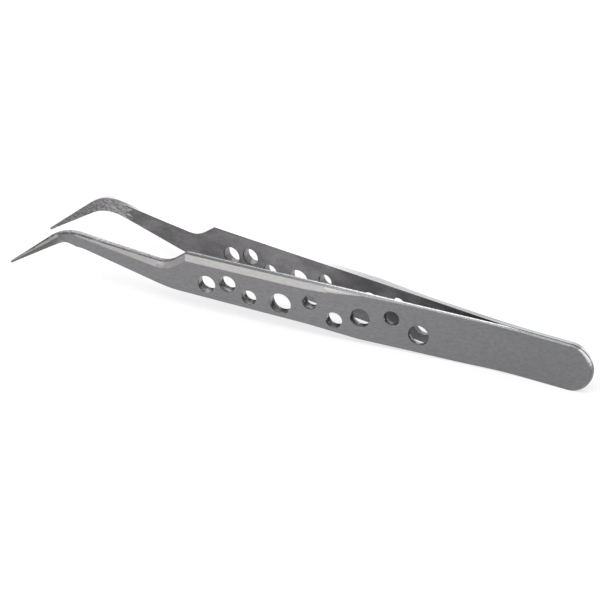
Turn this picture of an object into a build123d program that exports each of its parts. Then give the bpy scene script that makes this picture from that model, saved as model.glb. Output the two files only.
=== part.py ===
from build123d import *

import os
from math import asin, atan2, cos, degrees, radians, sin, tan

# Curved tweezers: two mirrored steel blades, welded face to face at the heel and sprung apart at the tips.
# Each blade is shaped lying flat on the inner face of its handle: X runs from the heel end towards the tip,
# Y is 0 on the straight back edge and falls below it, and Z is the distance outwards from that inner face.
# Then the pair is stood on its edge, as it rests on a table, with +X towards the tips and +Z up.
# All sizes are in millimetres and degrees.

# Side view of the handle
heel_width = 9.3
belly_width = 9.7
belly_at = 32.5
belly_radius = 300.0
heel_rounding = 0.6
handle_length = 82.2

# Side view of the shoulder, the neck and the shank
shoulder_run = 3.75
shoulder_drop = 3.05
shoulder_radius = 0.3
neck_radius = 5.0
shank_length = 22.1
shank_rise = 1.9
chin_offset = 3.0
chin_depth = 8.45
chin_radius = 20.0

# Side view of the hook, whose two edges would meet in a point just past its rounded tip
bend_radius = 9.5
bend_width = 2.3
bend_setback = 1.0
inner_bend_radius = 8.5
hook_reach = 14.1
hook_drop = 12.8
tip_radius = 0.2

# Plan view: the blade leans outwards from the end of the weld, and back in at the neck and near the tip
weld_length = 17.3
handle_spread = 4.65
shank_turn_in = 0.75
tip_turn_in = 1.5
tip_ground_length = 18.0

# Plan view: the blade is ground thin behind the grip, and again towards the tip
spring_thickness = 0.9
spring_length = 18.2
ramp_length = 21.0
ramp_radius = 120.0
grip_thickness = 2.1
bend_thickness = 1.75
point_thickness = 0.6

# Bevels that lead from the edges up to the outer face, and run out on the thinning handle and past the bend
back_edge_width = 1.25
back_bevel_angle = 50.0
lower_edge_width = 0.95
lower_bevel_angle = 35.0
bevel_setback = 28.5
handle_runout = 2.3
hook_runout = 8.0

# Needle: a cone that makes the hook half round and opens out behind the bend, like a trumpet
needle_tip_radius = 0.24
needle_length = 18.0
needle_root_radius = 1.6
needle_flare_radius = 6.0

# Holes through each blade: distance back from the shoulder, depth below the back edge, diameter
# The right blade was punched a little nearer its tip than the left one
holes = [
    (4.87, 5.0, 3.6),
    (9.12, 3.9, 3.4),
    (13.62, 5.7, 3.0),
    (20.02, 5.4, 4.3),
    (25.92, 3.7, 2.9),
    (30.82, 6.4, 3.3),
    (35.92, 4.8, 3.9),
    (42.12, 3.5, 3.1),
    (47.52, 5.9, 4.1),
]
right_holes_forward = 0.95

# Corners of the side view
heel_radius = heel_width / 2
shoulder = Vector(handle_length, 0)
neck = shoulder + Vector(shoulder_run, -shoulder_drop)
bend = neck + Vector(shank_length, shank_rise)
inner_bend = bend - Vector(bend_setback, bend_width)
point = bend + Vector(hook_reach, -hook_drop)
chin = Vector(handle_length + chin_offset, -chin_depth)
belly = Vector(belly_at, -belly_width)

# The hook's axis halves the angle between its edges, and its tip is rounded where the edges come close
back_direction = (point - bend).normalized()
inner_direction = (point - inner_bend).normalized()
hook_direction = (back_direction + inner_direction).normalized()
half_point_angle = radians(back_direction.get_angle(inner_direction) / 2)
tip_centre = point - hook_direction * (tip_radius / sin(half_point_angle))

# A length that reaches past the blade's section on every side, for shapes that only trim it
clear = 3 * heel_width


def inner(x):
    """Height of the inner face at x, over the plane of the handle's inner face."""
    weld_rise = max(0, weld_length - x) * tan(radians(handle_spread))
    shank_fall = max(0, x - neck.X) * tan(radians(shank_turn_in))
    tip_fall = max(0, x - tip_centre.X + tip_ground_length) * tan(radians(tip_turn_in))
    return weld_rise - shank_fall - tip_fall


def side_view():
    """Outline of the blade, with a full round heel end, a necked shank and a hooked tip."""
    edges = FilletPolyline(
        (heel_radius, 0),
        shoulder,
        neck,
        bend,
        point,
        inner_bend,
        chin,
        belly,
        (weld_length, -heel_width),
        (heel_radius, -heel_width),
        radius=[
            shoulder_radius,
            neck_radius,
            bend_radius,
            tip_radius,
            inner_bend_radius,
            chin_radius,
            belly_radius,
            belly_radius,
        ],
    )
    heel_end = ThreePointArc((heel_radius, -heel_width), (0, -heel_radius), (heel_radius, 0))
    return make_face(edges + heel_end)


def plan_view():
    """Lengthwise section of the blade, between its inner face and the faces that it is ground to."""
    spring_end = weld_length + spring_length
    ground_from = tip_centre.X - tip_ground_length
    inner_face = [(x, inner(x)) for x in (-clear, weld_length, neck.X, ground_from, point.X)]
    thicknesses = [
        (point.X, point_thickness),
        (bend.X, bend_thickness),
        (neck.X, grip_thickness),
        (spring_end + ramp_length, grip_thickness),
        (spring_end, spring_thickness),
        (weld_length, spring_thickness),
        (-clear, spring_thickness),
    ]
    outer_face = [(x, inner(x) + thickness) for x, thickness in thicknesses]
    sharp = [0] * (len(inner_face) + 1)
    blended = [ramp_radius] * (len(outer_face) - 2)
    return make_face(FilletPolyline(inner_face + outer_face, close=True, radius=sharp + blended + [0]))


def back_bevel():
    """Everything under the bevel along the back edge."""
    start = shoulder - Vector(bevel_setback, 0)
    heelwards = start + Vector(-handle_length, 0).rotate(Axis.Z, -handle_runout)
    past_bend = bend + (back_direction * clear).rotate(Axis.Z, hook_runout)
    outline = FilletPolyline(
        (heelwards.X, -clear),
        (past_bend.X, -clear),
        past_bend,
        bend,
        neck,
        shoulder,
        start,
        heelwards,
        close=True,
        radius=[0, 0, 0, bend_radius, neck_radius, 0, 0, 0],
    )
    return bevelled(outline, back_edge_width, back_bevel_angle)


def lower_bevel():
    """Everything under the bevel along the lower edge."""
    belly_slope = (chin - belly).normalized()
    start = chin - belly_slope * bevel_setback
    heelwards = start - (belly_slope * handle_length).rotate(Axis.Z, handle_runout)
    past_bend = inner_bend + (inner_direction * clear).rotate(Axis.Z, -hook_runout)
    outline = FilletPolyline(
        heelwards,
        start,
        chin,
        inner_bend,
        past_bend,
        (past_bend.X, clear),
        (heelwards.X, clear),
        close=True,
        radius=[0, 0, chin_radius, inner_bend_radius, 0, 0, 0],
    )
    return bevelled(outline, lower_edge_width, lower_bevel_angle)


def bevelled(outline, edge_width, angle):
    """Walls that lean inwards from below the blade to above it, and pass through the outline at the edge width."""
    foot = 1.5 * inner(point.X)
    spread_out = (edge_width - foot) * tan(radians(angle))
    face = offset(make_face(outline), spread_out, kind=Kind.INTERSECTION)
    return extrude(Pos(0, 0, foot) * face, 2 * grip_thickness - foot, taper=angle)


def needle():
    """A cone about the hook's axis, on the inner face, that opens out into a drum over the rest of the blade."""
    bend_centre = (bend + inner_bend) / 2
    root = Vector(bend_centre.X, bend_centre.Y, inner(bend_centre.X))
    tip = Vector(tip_centre.X, tip_centre.Y, inner(tip_centre.X))
    along_hook = Plane(origin=tip, x_dir=root - tip, z_dir=Vector(0, 0, 1).cross(root - tip))
    edges = FilletPolyline(
        (0, needle_tip_radius),
        (needle_length, needle_root_radius),
        (needle_length, point.X),
        (needle_length + point.X, point.X),
        (needle_length + point.X, 0),
        (-needle_tip_radius, 0),
        radius=[needle_flare_radius, 0, 0, 0],
    )
    end = RadiusArc((-needle_tip_radius, 0), (0, needle_tip_radius), needle_tip_radius)
    return revolve(along_hook * make_face(edges + end), Axis(tip, root - tip))


def heel_end():
    """A disc whose rounded rim eases the outer edge of the heel end, and a block over the rest of the blade."""
    radius = heel_radius + heel_rounding
    disc = Cylinder(radius, clear, align=(Align.MIN, Align.CENTER, Align.MAX))
    disc = fillet(disc.edges().sort_by(Axis.Z)[-1], heel_rounding)
    rest = Pos(radius, 0, 0) * Box(point.X, clear, clear, align=(Align.MIN, Align.CENTER, Align.CENTER))
    leaf = spread().inverse() * Pos(0, -heel_radius, spring_thickness)
    return leaf * disc + Pos(0, -heel_radius, 0) * rest


def hole_pattern(forward):
    """One drill through the blade for each hole, with the whole row moved that far towards the tip."""
    start = shoulder.X + forward
    return [Pos(start - back, -depth, 0) * Cylinder(size / 2, clear) for back, depth, size in holes]


def blade(holes_forward):
    """One blade, lying flat on the inner face of its handle."""
    blank = extrude(side_view(), clear, both=True) & extrude(Plane.XZ * plan_view(), clear, both=True)
    return (blank & back_bevel() & lower_bevel() & needle() & heel_end()) - hole_pattern(holes_forward)


def spread():
    """Turn about the end of the weld that lays the heel on the centre plane and leans the handle outwards."""
    return Pos(weld_length, 0, 0) * Rot(0, -handle_spread, 0) * Pos(-weld_length, 0, 0)


def stance():
    """Location that stands the spread blade up, with the heel and the tip resting on Z = 0."""
    tip = (spread() * Pos(tip_centre.X, tip_centre.Y, inner(tip_centre.X))).position
    heel = Vector(heel_radius, -heel_radius)
    across = Vector(tip.X, tip.Y) - heel
    fall = atan2(-across.Y, across.X)
    lean = asin((heel_radius - tip_radius) / across.length)
    length = heel_radius + across.length * cos(lean) + tip_radius
    upright = Rot(0, degrees(lean - fall), 0) * Rot(90, 0, 0)
    return Pos(heel_radius - length / 2, 0, heel_radius) * upright * Pos(-heel.X, -heel.Y, 0) * spread()


def main():
    right_arm = stance() * blade(right_holes_forward)
    left_arm = mirror(stance() * blade(0), about=Plane.XZ)
    os.makedirs("parts", exist_ok=True)
    export_step(right_arm, "parts/right_arm.step")
    export_step(left_arm, "parts/left_arm.step")


main()
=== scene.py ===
from math import pi, radians
from types import SimpleNamespace

import bpy
from mathutils import Matrix, Vector


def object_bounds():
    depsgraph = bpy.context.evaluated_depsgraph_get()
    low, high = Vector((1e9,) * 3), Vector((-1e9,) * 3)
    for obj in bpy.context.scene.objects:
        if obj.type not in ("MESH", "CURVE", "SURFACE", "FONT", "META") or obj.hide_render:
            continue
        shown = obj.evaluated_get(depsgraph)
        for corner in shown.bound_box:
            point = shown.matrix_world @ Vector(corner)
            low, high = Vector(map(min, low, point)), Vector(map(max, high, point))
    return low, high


# Looks of a pair of curved tweezers: two brushed steel blades, welded at the heel. Lengths are in metres,
# except in the steel, which works in millimetres along the blade's own axes.

MM = 0.001

# Camera: 207.8 degrees round from -Y towards +X, 29.8 degrees up, with a long lens
CAMERA_BACK = Vector((-0.40495, 0.76709, 0.49758))
CAMERA_TARGET = Vector((0.76, 0.0, 3.59)) * MM
CAMERA_DISTANCE = 848.7 * MM
CAMERA_RANGE = 20.0
SENSOR_WIDTH = 36.0
LENS = 270.0

# Lamps, all aimed at the origin: place, width and height in metres, and power in watts
LAMPS = {
    "overhead": ((0.1, 0.35, 0.75), (0.7, 0.5), 2.4),
    "behind": ((0.36, -0.69, 0.45), (0.7, 0.5), 0.9),
}

# Surroundings: the white world's light on the object, and a floor that glows up to plain white
WORLD_LIGHT = 0.65
FLOOR_SIZE = 6.0
FLOOR_LEVEL = 0.55
FLOOR_GLOW = 0.64

# Deburred edges: widths in metres, and the least angle that is rounded
JOIN_DISTANCE = 0.001 * MM
DEBURR_WIDTH = 0.07 * MM
DEBURR_SEGMENTS = 2
DEBURR_ANGLE = radians(25)

# How the right blade lies, in millimetres and degrees. Its own X runs from the heel end to the tip, Y is 0 on
# the back edge and falls below it, and Z points outwards from the inner face. The left blade mirrors it.
HEEL_RADIUS = 4.65
WELD_LENGTH = 17.3
HANDLE_SPREAD = 4.65
PITCH = -1.4585
SHOULDER = 82.2

# In the steel, a FADE is where a smooth change along the blade starts and ends, counted from the heel end.
# A SPAN is the same for another measure. A TONE or LEVEL is linear brightness, and a SHARE scales one.

# Kinds of surface, by the outward part of the normal: 1 on the outer face, 0 on walls, -1 on the inner face
INNER_SPAN = (-0.3, -0.6)
OUTER_SPAN = (0.90, 0.96)
BEVEL_SPAN = (0.35, 0.45)

# Hole walls, by their distance from the heel end and their depth below the back edge
DRILLED_START_SPAN = (30.0, 30.5)
DRILLED_END_SPAN = (SHOULDER - 1.2, SHOULDER - 1.4)
DRILLED_TOP_DEPTH_SPAN = (1.2, 1.4)
DRILLED_FOOT_DEPTH_SPAN = (8.2, 8.0)

# Textures: grain size along, down and out of the blade, detail, roughness, and noise levels made 0 and 1
TEXTURES = {
    "grain": ((0.9, 0.24, 0.24), 4.0, 0.5, (0.26, 0.74)),
    "streaks": ((9.0, 0.26, 0.26), 2.0, 0.5, (0.35, 0.65)),
    "mottle": ((0.55, 0.38, 0.5), 3.0, 0.65, (0.36, 0.64)),
    "speckle": ((0.36, 0.24, 0.4), 3.0, 0.65, (0.34, 0.66)),
    "clouds": ((5.0, 2.2, 2.2), 2.0, 0.5, (0.35, 0.65)),
    "cross": ((0.22, 0.5, 0.34), 2.0, 0.5, (0.36, 0.64)),
    "dashes": ((1.1, 3.0, 3.0), 1.0, 0.5, (0.40, 0.58)),
}

# Brushed outer face: its grain, a few long streaks, and how much darker it is at the heel
OUTER_TINT = (1.015, 1.0, 1.05)
OUTER_LEVELS = (0.192, 0.262)
STREAK_TINT = (1.0, 1.0, 1.03)
STREAK_LEVEL = 0.27
STREAK_SHARE = 0.22
HEEL_FADE = (60.0, 5.0)
HEEL_SHARE = 0.84

# Bevels: tones on the handle and on the shank, and how much the grain changes them
BEVEL_TINT = (1.025, 1.0, 0.99)
BEVEL_FADE = (84.0, 90.0)
BEVEL_TONES = (0.36, 0.29)
GRAIN_SHARES = (0.90, 1.10)

# Edges of the near arm: tones, a painted highlight on the inner corner, and a dark broken line of painted
# shade along the bevel, which moves inwards where the blade thins
EDGE_TINT = (0.99, 1.0, 1.03)
NEAR_SPRING_TONE = 0.35
NEAR_GRIP_FADE = (42.0, 68.0)
NEAR_GRIP_TONE = 0.15
NEAR_SHANK_FADE = (82.0, 94.0)
NEAR_SHANK_TONE = 0.31
NEAR_CROSS_SHARES = (0.62, 1.38)
CORNER_HIGHLIGHT_OUTWARD_SPAN = (0.42, 0.28)
CORNER_HIGHLIGHT_FADE = (82.0, 88.0)
CORNER_HIGHLIGHT_SHARES = (2.3, 1.3)
OFF_CORNER_SHARE = 0.85
LINE_SHADE_FADE = (60.0, 84.0)
LINE_SHADE_OUTWARD_SPAN = (0.72, 0.86)
LINE_SHADE_SHIFT_FADE = (99.0, 108.0)
LINE_SHADE_SHIFT = 0.45
LINE_SHADE_SHARES = (0.55, 1.0)
LINE_SHADE_TONE = 0.07

# Edges of the far arm: tones, bright as a painted reflection, a dull inner corner near the tip, and a dull
# outer corner at the heel
FAR_SPRING_TONE = 0.47
FAR_GRIP_FADE = (46.0, 68.0)
FAR_CROSS_SHARES = (0.90, 1.0)
DULL_FADE = (97.0, 104.0)
DULL_OUTWARD_SPAN = (0.75, 0.30)
DULL_TONE = 0.19
HEEL_CORNER_FADE = (34.0, 16.0)
HEEL_CORNER_SIDEWAYS_SPAN = (0.72, 0.84)
HEEL_CORNER_TONE = 0.26

# Seam of the weld, by the distance from the centre plane
SEAM_SIDEWAYS_SPAN = (0.18, 0.08)
SEAM_LEVEL = 0.07

# Inner face: tones, a shade that grows below the back edge, clouds and speckles
INNER_TINT = (1.03, 1.0, 1.03)
INNER_SPRING_TONE = 1.55
INNER_GRIP_FADE = (52.0, 58.0)
INNER_GRIP_TONE = 2.1
INNER_SHANK_FADE = (64.0, 92.0)
INNER_SHANK_TONE = 0.92
SHADE_DEPTH_SPAN = (1.0, 6.0)
SHADE_FADE = (92.0, 80.0)
SHADE_SHARES = (1.15, 0.72)
CLOUD_SHARES = (0.85, 1.15)
SPECKLE_LEVELS = (0.138, 0.190)

# Patch ground on the inner face at the tip: the ragged line where it starts, and its tones past that line
PATCH_LINE = 99.3
RAGGED_GRAIN = (40.0, 0.48, 9.0)
RAGGED_DETAIL = 1.0
RAGGED_REACH = 5.0
PATCH_LINE_SPAN = (0.0, 0.12)
PATCH_LEVELS = (0.125, 0.31)
PATCH_TONE_SPAN = (0.5, 11.0)
PATCH_SHARES = (1.5, 0.85)

# Half-round hook of the near arm: painted bands round its axis, by the part of the normal towards its back: a
# painted highlight stripe, a painted reflection on the lower rim and a painted dark reflection on the top
HOOK_BACK = (0.67, 0.74, 0.0)
HOOK_FADE = (105.5, 111.0)
HOOK_TINT = (1.03, 1.0, 0.98)
HOOK_LEVELS = (0.135, 0.36)
HIGHLIGHT_STRIPE_START_SPAN = (0.16, 0.32)
HIGHLIGHT_STRIPE_END_SPAN = (0.66, 0.54)
LIT_LOWER_RIM_SPAN = (-0.66, -0.82)
HOOK_DARK_TOP_SPAN = (0.60, 0.70)
HOOK_DARK_TOP_TONE = 0.05

# Rounded rim of the heel end, by the tipward and upward parts of the normal: a painted highlight where it
# turns up, and painted shade below
RIM_TINT = (1.0, 1.0, 1.02)
RIM_FADE = (5.0, 4.4)
RIM_TIPWARD_SPAN = (-0.30, -0.42)
LIT_UPWARD_SPAN = (0.15, 0.55)
LIT_TIPWARD_SPAN = (-0.25, -0.38)
RIM_SHADE_AND_HIGHLIGHT_LEVELS = (0.17, 1.0)

# Drilled holes
HOLE_LEVELS = (0.20, 0.30)
FAR_HOLE_SHARE = 0.8

# Roughness, and bump with its height in metres
OUTER_ROUGHNESS = 0.40
EDGE_ROUGHNESS = 0.36
INNER_ROUGHNESS = 0.50
SMOOTH_ROUGHNESS = 0.28
GRAIN_ROUGHNESS = (-0.06, 0.06)
BUMP_STRENGTH = 0.2
BUMP_HEIGHT = 0.02 * MM


class Graph:
    """A short way to write a material's nodes. Its sums take node outputs or plain numbers."""

    def __init__(self, material):
        material.use_nodes = True
        self.tree = material.node_tree
        self.tree.nodes.clear()

    def node(self, kind, **values):
        made = self.tree.nodes.new(kind)
        for name, value in values.items():
            setattr(made, name, value)
        return made

    def feed(self, socket, value):
        if isinstance(value, bpy.types.NodeSocket):
            self.tree.links.new(value, socket)
        else:
            socket.default_value = value

    def math(self, operation, *values, clamp=False):
        made = self.node("ShaderNodeMath", operation=operation, use_clamp=clamp)
        for socket, value in zip(made.inputs, values):
            self.feed(socket, value)
        return made.outputs[0]

    def product(self, first, *others):
        for other in others:
            first = self.math("MULTIPLY", first, other)
        return first

    def opposite(self, mask):
        return self.math("SUBTRACT", 1.0, mask)

    def vector(self, operation, *values):
        made = self.node("ShaderNodeVectorMath", operation=operation)
        for socket, value in zip(made.inputs, values):
            self.feed(socket, value)
        return made.outputs["Value" if operation == "DOT_PRODUCT" else "Vector"]

    def scaled(self, colour, tone):
        made = self.node("ShaderNodeVectorMath", operation="SCALE")
        self.feed(made.inputs[0], colour)
        self.feed(made.inputs["Scale"], tone)
        return made.outputs["Vector"]

    def joined(self, *parts):
        made = self.node("ShaderNodeCombineXYZ")
        for socket, part in zip(made.inputs, parts):
            self.feed(socket, part)
        return made.outputs[0]

    def step(self, value, span):
        """0 up to the span's start and 1 from its end, smooth between. The start may be the larger one."""
        start, end = span
        results = (0.0, 1.0) if start < end else (1.0, 0.0)
        made = self.node("ShaderNodeMapRange", interpolation_type="SMOOTHSTEP", clamp=True)
        for socket, number in zip(made.inputs, (value, min(span), max(span), *results)):
            self.feed(socket, number)
        return made.outputs[0]

    def noise(self, place, grain_size, detail, roughness=0.5):
        made = self.node("ShaderNodeTexNoise")
        self.feed(made.inputs["Vector"], self.vector("DIVIDE", place, grain_size))
        self.feed(made.inputs["Scale"], 1.0)
        self.feed(made.inputs["Detail"], detail)
        self.feed(made.inputs["Roughness"], roughness)
        return made.outputs["Fac"]

    def blend(self, amount, first, second):
        """Mixes two colours."""
        made = self.node("ShaderNodeMix", data_type="RGBA")
        self.feed(made.inputs["Factor"], amount)
        colours = [socket for socket in made.inputs if socket.type == "RGBA"]
        for socket, colour in zip(colours, (first, second)):
            self.feed(socket, colour)
        return [socket for socket in made.outputs if socket.type == "RGBA"][0]

    def mix(self, amount, first, second):
        """Mixes two numbers."""
        made = self.node("ShaderNodeMix", data_type="FLOAT")
        self.feed(made.inputs[0], amount)
        self.feed(made.inputs[2], first)
        self.feed(made.inputs[3], second)
        return made.outputs[0]

    def fade(self, value, span, first, second):
        """The first number up to the span's start and the second from its end."""
        return self.mix(self.step(value, span), first, second)

    def output(self, kind, surface):
        made = self.node(kind)
        self.feed(made.inputs["Surface"], surface)


def tinted(level, tint=(1.0, 1.0, 1.0)):
    """Colour of that linear brightness and tint."""
    return (*(level * part for part in tint), 1.0)


def blade_rows(heel_end):
    """Rows that turn a place on the object, in metres, into one on the right blade, in millimetres."""
    spread = Matrix.Translation((WELD_LENGTH, 0, 0)) @ Matrix.Rotation(-radians(HANDLE_SPREAD), 4, "Y")
    spread = spread @ Matrix.Translation((-WELD_LENGTH, 0, 0))
    upright = Matrix.Rotation(radians(PITCH), 4, "Y") @ Matrix.Rotation(pi / 2, 4, "X")
    stance = Matrix.Translation((heel_end / MM + HEEL_RADIUS, 0, HEEL_RADIUS)) @ upright
    stance = stance @ Matrix.Translation((-HEEL_RADIUS, HEEL_RADIUS, 0)) @ spread
    return (stance.inverted() @ Matrix.Scale(1 / MM, 4))[:3]


def blade_parts(graph, source, rows):
    """Parts of a vector along the blade's axes. Each row is a direction and a number to add."""
    return [graph.math("ADD", graph.vector("DOT_PRODUCT", source, tuple(row.xyz)), row.w) for row in rows]


def blade_place(graph, heel_end):
    """A point's place on its blade and the way it faces, in axes that are the same for both blades."""
    geometry = graph.node("ShaderNodeNewGeometry")
    position = graph.node("ShaderNodeSeparateXYZ")
    graph.feed(position.inputs[0], geometry.outputs["Position"])
    side = graph.math("SIGN", position.outputs["Y"])
    mirror = graph.joined(1.0, graph.product(side, -1.0), 1.0)

    rows = blade_rows(heel_end)
    turns = [Vector((*row.xyz.normalized(), 0.0)) for row in rows]
    place = blade_parts(graph, graph.vector("MULTIPLY", geometry.outputs["Position"], mirror), rows)
    normal = blade_parts(graph, graph.vector("MULTIPLY", geometry.outputs["True Normal"], mirror), turns)
    along, across, outward = place
    tipward, upward, facing = normal
    return SimpleNamespace(
        place=graph.joined(*place),
        along=along,
        depth=graph.product(across, -1.0),
        outward=outward,
        normal=graph.joined(*normal),
        tipward=tipward,
        upward=upward,
        facing=facing,
        far_side=graph.step(side, (0.0, -0.5)),
        sideways=graph.product(graph.math("ABSOLUTE", position.outputs["Y"]), 1 / MM),
    )


def textures(graph, place):
    """Noises that run from 0 to 1, by name."""
    made = {}
    for name, (grain_size, detail, roughness, span) in TEXTURES.items():
        made[name] = graph.step(graph.noise(place, grain_size, detail, roughness), span)
    return SimpleNamespace(**made)


def surfaces(graph, at):
    """Masks of the kinds of surface. Where two of them overlap, steel_colour says which one shows."""
    inner = graph.step(at.facing, INNER_SPAN)
    outer = graph.step(at.facing, OUTER_SPAN)
    wall = graph.opposite(graph.step(graph.math("ABSOLUTE", at.facing), BEVEL_SPAN))
    hole = graph.product(
        wall,
        graph.step(at.along, DRILLED_START_SPAN),
        graph.step(at.along, DRILLED_END_SPAN),
        graph.step(at.depth, DRILLED_TOP_DEPTH_SPAN),
        graph.step(at.depth, DRILLED_FOOT_DEPTH_SPAN),
    )
    return SimpleNamespace(
        inner=inner,
        bevel=graph.product(graph.step(at.facing, BEVEL_SPAN), graph.opposite(outer)),
        hole=hole,
        edge=graph.product(wall, graph.opposite(hole)),
        rim=graph.product(graph.step(at.tipward, RIM_TIPWARD_SPAN), graph.step(at.along, RIM_FADE)),
        seam=graph.product(graph.step(at.sideways, SEAM_SIDEWAYS_SPAN), graph.opposite(inner)),
        hook=graph.product(graph.step(at.along, HOOK_FADE), graph.opposite(at.far_side)),
    )


def outer_colour(graph, at, noise):
    """Brushed outer face, a little darker towards the heel."""
    dark, light = (tinted(level, OUTER_TINT) for level in OUTER_LEVELS)
    colour = graph.blend(noise.grain, dark, light)
    streaked = graph.product(noise.streaks, STREAK_SHARE)
    colour = graph.blend(streaked, colour, tinted(STREAK_LEVEL, STREAK_TINT))
    return graph.scaled(colour, graph.fade(at.along, HEEL_FADE, 1.0, HEEL_SHARE))


def bevel_colour(graph, at, noise):
    """Bevels, brightest on the handle."""
    tone = graph.fade(at.along, BEVEL_FADE, *BEVEL_TONES)
    return graph.scaled(BEVEL_TINT, graph.product(tone, graph.mix(noise.grain, *GRAIN_SHARES)))


def near_edge_tone(graph, at, noise):
    """Top and bottom edges of the near arm: ground across, with a painted highlight on the inner corner and a
    dark line of painted shade.
    """
    tone = graph.fade(at.along, NEAR_GRIP_FADE, NEAR_SPRING_TONE, NEAR_GRIP_TONE)
    tone = graph.fade(at.along, NEAR_SHANK_FADE, tone, NEAR_SHANK_TONE)
    # Painted highlight: the edge is lighter along its inner corner
    corner = graph.fade(at.along, CORNER_HIGHLIGHT_FADE, *CORNER_HIGHLIGHT_SHARES)
    corner = graph.fade(at.outward, CORNER_HIGHLIGHT_OUTWARD_SPAN, OFF_CORNER_SHARE, corner)
    tone = graph.product(tone, corner, graph.mix(noise.cross, *NEAR_CROSS_SHARES))

    # Painted shade: a dark broken line along the bevel, moving inwards where the blade thins
    shift = graph.fade(at.along, LINE_SHADE_SHIFT_FADE, 0.0, LINE_SHADE_SHIFT)
    line = graph.step(graph.math("ADD", at.outward, shift), LINE_SHADE_OUTWARD_SPAN)
    line = graph.product(line, graph.step(at.along, LINE_SHADE_FADE), graph.mix(noise.dashes, *LINE_SHADE_SHARES))
    return graph.mix(line, tone, LINE_SHADE_TONE)


def far_edge_tone(graph, at, noise):
    """Top and bottom edges of the far arm: bright with a painted reflection, apart from the spring and two
    dull corners.
    """
    # Painted reflection: the far arm's edges turn near white from the grip on
    tone = graph.fade(at.along, FAR_GRIP_FADE, FAR_SPRING_TONE, 1.0)
    tone = graph.product(tone, graph.mix(noise.cross, *FAR_CROSS_SHARES))
    dull = graph.product(graph.step(at.along, DULL_FADE), graph.step(at.outward, DULL_OUTWARD_SPAN))
    tone = graph.mix(dull, tone, DULL_TONE)
    on_heel = graph.step(at.along, HEEL_CORNER_FADE)
    heel_corner = graph.product(on_heel, graph.step(at.sideways, HEEL_CORNER_SIDEWAYS_SPAN))
    return graph.mix(heel_corner, tone, HEEL_CORNER_TONE)


def edge_colour(graph, at, noise):
    tone = graph.mix(at.far_side, near_edge_tone(graph, at, noise), far_edge_tone(graph, at, noise))
    return graph.scaled(EDGE_TINT, tone)


def scuffed_and_shaded_tone(graph, at, noise):
    """Dull inner face, lightest near the middle of the handle, with painted shade that darkens it below the
    back edge.
    """
    tone = graph.fade(at.along, INNER_GRIP_FADE, INNER_SPRING_TONE, INNER_GRIP_TONE)
    tone = graph.fade(at.along, INNER_SHANK_FADE, tone, INNER_SHANK_TONE)
    # Painted shade, darkening the inner face below the back edge, away from the tip
    shaded = graph.product(graph.step(at.depth, SHADE_DEPTH_SPAN), graph.step(at.along, SHADE_FADE))
    return graph.product(
        tone,
        graph.mix(shaded, *SHADE_SHARES),
        graph.mix(noise.clouds, *CLOUD_SHARES),
        graph.mix(noise.speckle, *SPECKLE_LEVELS),
    )


def inner_colour(graph, at, noise):
    """Inner face, with the patch ground at its tip, which starts in a ragged line."""
    ragged = graph.product(graph.noise(at.place, RAGGED_GRAIN, RAGGED_DETAIL), RAGGED_REACH)
    past_line = graph.math("SUBTRACT", at.along, graph.math("ADD", ragged, PATCH_LINE))
    patch = graph.mix(noise.mottle, *PATCH_LEVELS)
    patch = graph.product(patch, graph.fade(past_line, PATCH_TONE_SPAN, *PATCH_SHARES))
    tone = graph.fade(past_line, PATCH_LINE_SPAN, scuffed_and_shaded_tone(graph, at, noise), patch)
    return graph.scaled(INNER_TINT, tone)


def hook_colour(graph, at, noise):
    """Half-round hook: a painted highlight stripe along its upper half, a painted light reflection on the
    lower rim and a painted dark reflection on the top.
    """
    turned = graph.vector("DOT_PRODUCT", at.normal, HOOK_BACK)
    # Painted highlight and reflections, by how the hook's surface turns
    stripe = graph.product(graph.step(turned, HIGHLIGHT_STRIPE_START_SPAN), graph.step(turned, HIGHLIGHT_STRIPE_END_SPAN))
    light = graph.math("ADD", stripe, graph.step(turned, LIT_LOWER_RIM_SPAN), clamp=True)
    tone = graph.product(graph.mix(light, *HOOK_LEVELS), graph.mix(noise.grain, *GRAIN_SHARES))
    return graph.scaled(HOOK_TINT, graph.fade(turned, HOOK_DARK_TOP_SPAN, tone, HOOK_DARK_TOP_TONE))


def rim_colour(graph, at):
    """Rounded rim of the heel end, with a painted highlight where it turns up and painted shade below."""
    # Painted highlight on the part of the rim that turns up, painted shade elsewhere
    lit = graph.product(graph.step(at.upward, LIT_UPWARD_SPAN), graph.step(at.tipward, LIT_TIPWARD_SPAN))
    return graph.scaled(RIM_TINT, graph.mix(lit, *RIM_SHADE_AND_HIGHLIGHT_LEVELS))


def hole_colour(graph, at, noise):
    tone = graph.product(graph.mix(noise.mottle, *HOLE_LEVELS), graph.mix(at.far_side, 1.0, FAR_HOLE_SHARE))
    return graph.joined(tone, tone, tone)


def steel_colour(graph, at, noise, on):
    """Colour of the outer face, under each other kind of surface in turn."""
    colour = outer_colour(graph, at, noise)
    for mask, other in (
        (on.bevel, bevel_colour(graph, at, noise)),
        (on.edge, edge_colour(graph, at, noise)),
        (on.rim, rim_colour(graph, at)),
        (on.seam, tinted(SEAM_LEVEL)),
        (on.hook, hook_colour(graph, at, noise)),
        (on.inner, inner_colour(graph, at, noise)),
        (on.hole, hole_colour(graph, at, noise)),
    ):
        colour = graph.blend(mask, colour, other)
    return colour


def steel_roughness(graph, noise, on):
    rough = graph.mix(on.inner, graph.mix(on.edge, OUTER_ROUGHNESS, EDGE_ROUGHNESS), INNER_ROUGHNESS)
    rough = graph.mix(graph.math("MAXIMUM", on.hole, on.rim), rough, SMOOTH_ROUGHNESS)
    return graph.math("ADD", rough, graph.mix(noise.grain, *GRAIN_ROUGHNESS))


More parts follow.
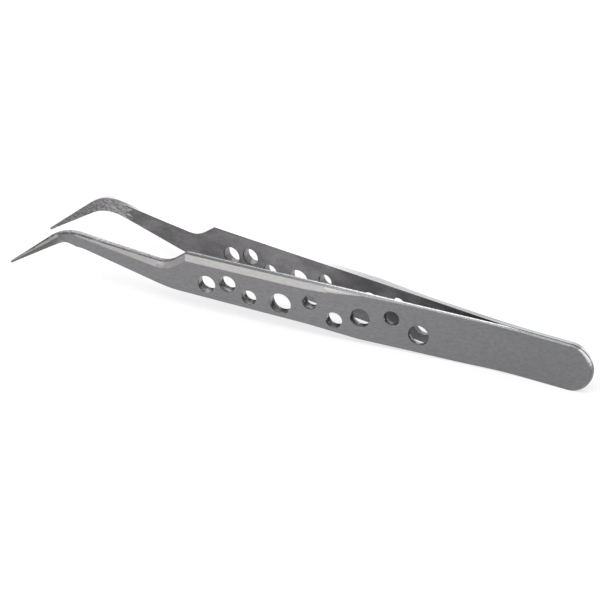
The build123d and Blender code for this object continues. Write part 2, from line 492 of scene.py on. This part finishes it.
def steel_bump(graph, noise, on):
    """Grain on the outer faces, grinding across the edges, and mottle on the inner faces."""
    bump = graph.node("ShaderNodeBump")
    graph.feed(bump.inputs["Strength"], BUMP_STRENGTH)
    graph.feed(bump.inputs["Distance"], BUMP_HEIGHT)
    relief = graph.mix(on.inner, graph.mix(on.edge, noise.grain, noise.cross), noise.mottle)
    graph.feed(bump.inputs["Height"], relief)
    return bump.outputs["Normal"]


def steel(heel_end):
    """Satin steel: brushed outer faces, light bevels, ground edges, and dull inner faces with ground tips."""
    material = bpy.data.materials.new("brushed_steel")
    graph = Graph(material)
    at = blade_place(graph, heel_end)
    noise = textures(graph, at.place)
    on = surfaces(graph, at)
    shader = graph.node("ShaderNodeBsdfPrincipled")
    graph.feed(shader.inputs["Metallic"], 1.0)
    graph.feed(shader.inputs["Base Color"], steel_colour(graph, at, noise, on))
    graph.feed(shader.inputs["Roughness"], steel_roughness(graph, noise, on))
    graph.feed(shader.inputs["Normal"], steel_bump(graph, noise, on))
    graph.output("ShaderNodeOutputMaterial", shader.outputs[0])
    return material


def soften_edges(node):
    """Joins the CAD mesh along its sharp edges and rounds them a little, as on a deburred blade."""
    weld = node.modifiers.new("weld", "WELD")
    weld.merge_threshold = JOIN_DISTANCE
    bevel = node.modifiers.new("deburr", "BEVEL")
    bevel.width = DEBURR_WIDTH
    bevel.segments = DEBURR_SEGMENTS
    bevel.limit_method = "ANGLE"
    bevel.angle_limit = DEBURR_ANGLE
    bevel.harden_normals = True


def seen_directly(graph):
    """1 on camera, mirror and see-through rays, which show the background, and 0 on rays that carry light."""
    path = graph.node("ShaderNodeLightPath")
    rays = graph.math("ADD", path.outputs["Is Camera Ray"], path.outputs["Is Glossy Ray"])
    return graph.math("ADD", rays, path.outputs["Is Transmission Ray"], clamp=True)


def floor_material():
    """White floor that keeps a soft shadow and shows as plain white elsewhere."""
    material = bpy.data.materials.new("pale_floor")
    graph = Graph(material)
    diffuse = graph.node("ShaderNodeBsdfDiffuse")
    graph.feed(diffuse.inputs["Color"], tinted(FLOOR_LEVEL))
    glow = graph.node("ShaderNodeEmission")
    graph.feed(glow.inputs["Strength"], graph.product(seen_directly(graph), FLOOR_GLOW))
    both = graph.node("ShaderNodeAddShader")
    graph.feed(both.inputs[0], diffuse.outputs[0])
    graph.feed(both.inputs[1], glow.outputs[0])
    graph.output("ShaderNodeOutputMaterial", both.outputs[0])
    return material


def build_floor():
    bpy.ops.mesh.primitive_plane_add(size=FLOOR_SIZE)
    floor = bpy.context.object
    floor.name = "floor"
    floor.data.materials.append(floor_material())


def build_world():
    """White to the camera and in reflections, and a plain soft light elsewhere."""
    world = bpy.data.worlds.new("studio")
    bpy.context.scene.world = world
    graph = Graph(world)
    background = graph.node("ShaderNodeBackground")
    graph.feed(background.inputs["Strength"], graph.mix(seen_directly(graph), WORLD_LIGHT, 1.0))
    graph.output("ShaderNodeOutputWorld", background.outputs[0])


def build_lamps():
    for name, (place, size, power) in LAMPS.items():
        light = bpy.data.lights.new(name, "AREA")
        light.shape = "RECTANGLE"
        light.size, light.size_y = size
        light.energy = power
        lamp = bpy.data.objects.new(name, light)
        lamp.location = place
        lamp.rotation_euler = (-Vector(place)).to_track_quat("-Z", "Y").to_euler()
        bpy.context.scene.collection.objects.link(lamp)


def build_camera():
    camera = bpy.data.objects.new("camera", bpy.data.cameras.new("camera"))
    camera.data.sensor_width = SENSOR_WIDTH
    camera.data.lens = LENS
    camera.data.clip_end = CAMERA_RANGE
    camera.location = CAMERA_TARGET + CAMERA_BACK * CAMERA_DISTANCE
    camera.rotation_euler = (-CAMERA_BACK).to_track_quat("-Z", "Y").to_euler()
    bpy.context.scene.collection.objects.link(camera)
    bpy.context.scene.camera = camera


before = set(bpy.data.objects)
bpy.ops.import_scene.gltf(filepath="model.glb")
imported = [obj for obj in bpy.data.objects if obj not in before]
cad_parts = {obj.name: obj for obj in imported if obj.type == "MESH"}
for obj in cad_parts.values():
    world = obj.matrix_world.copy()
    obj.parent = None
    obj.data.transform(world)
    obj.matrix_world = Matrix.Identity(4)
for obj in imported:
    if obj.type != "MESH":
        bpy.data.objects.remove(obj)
cad_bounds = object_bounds()
bpy.context.scene.view_settings.view_transform = "Standard"

lowest_corner = cad_bounds[0]
blade_steel = steel(heel_end=lowest_corner[0])
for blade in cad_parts.values():
    for slot in blade.material_slots:
        slot.material = blade_steel
    soften_edges(blade)

build_floor()
build_world()
build_lamps()
build_camera()
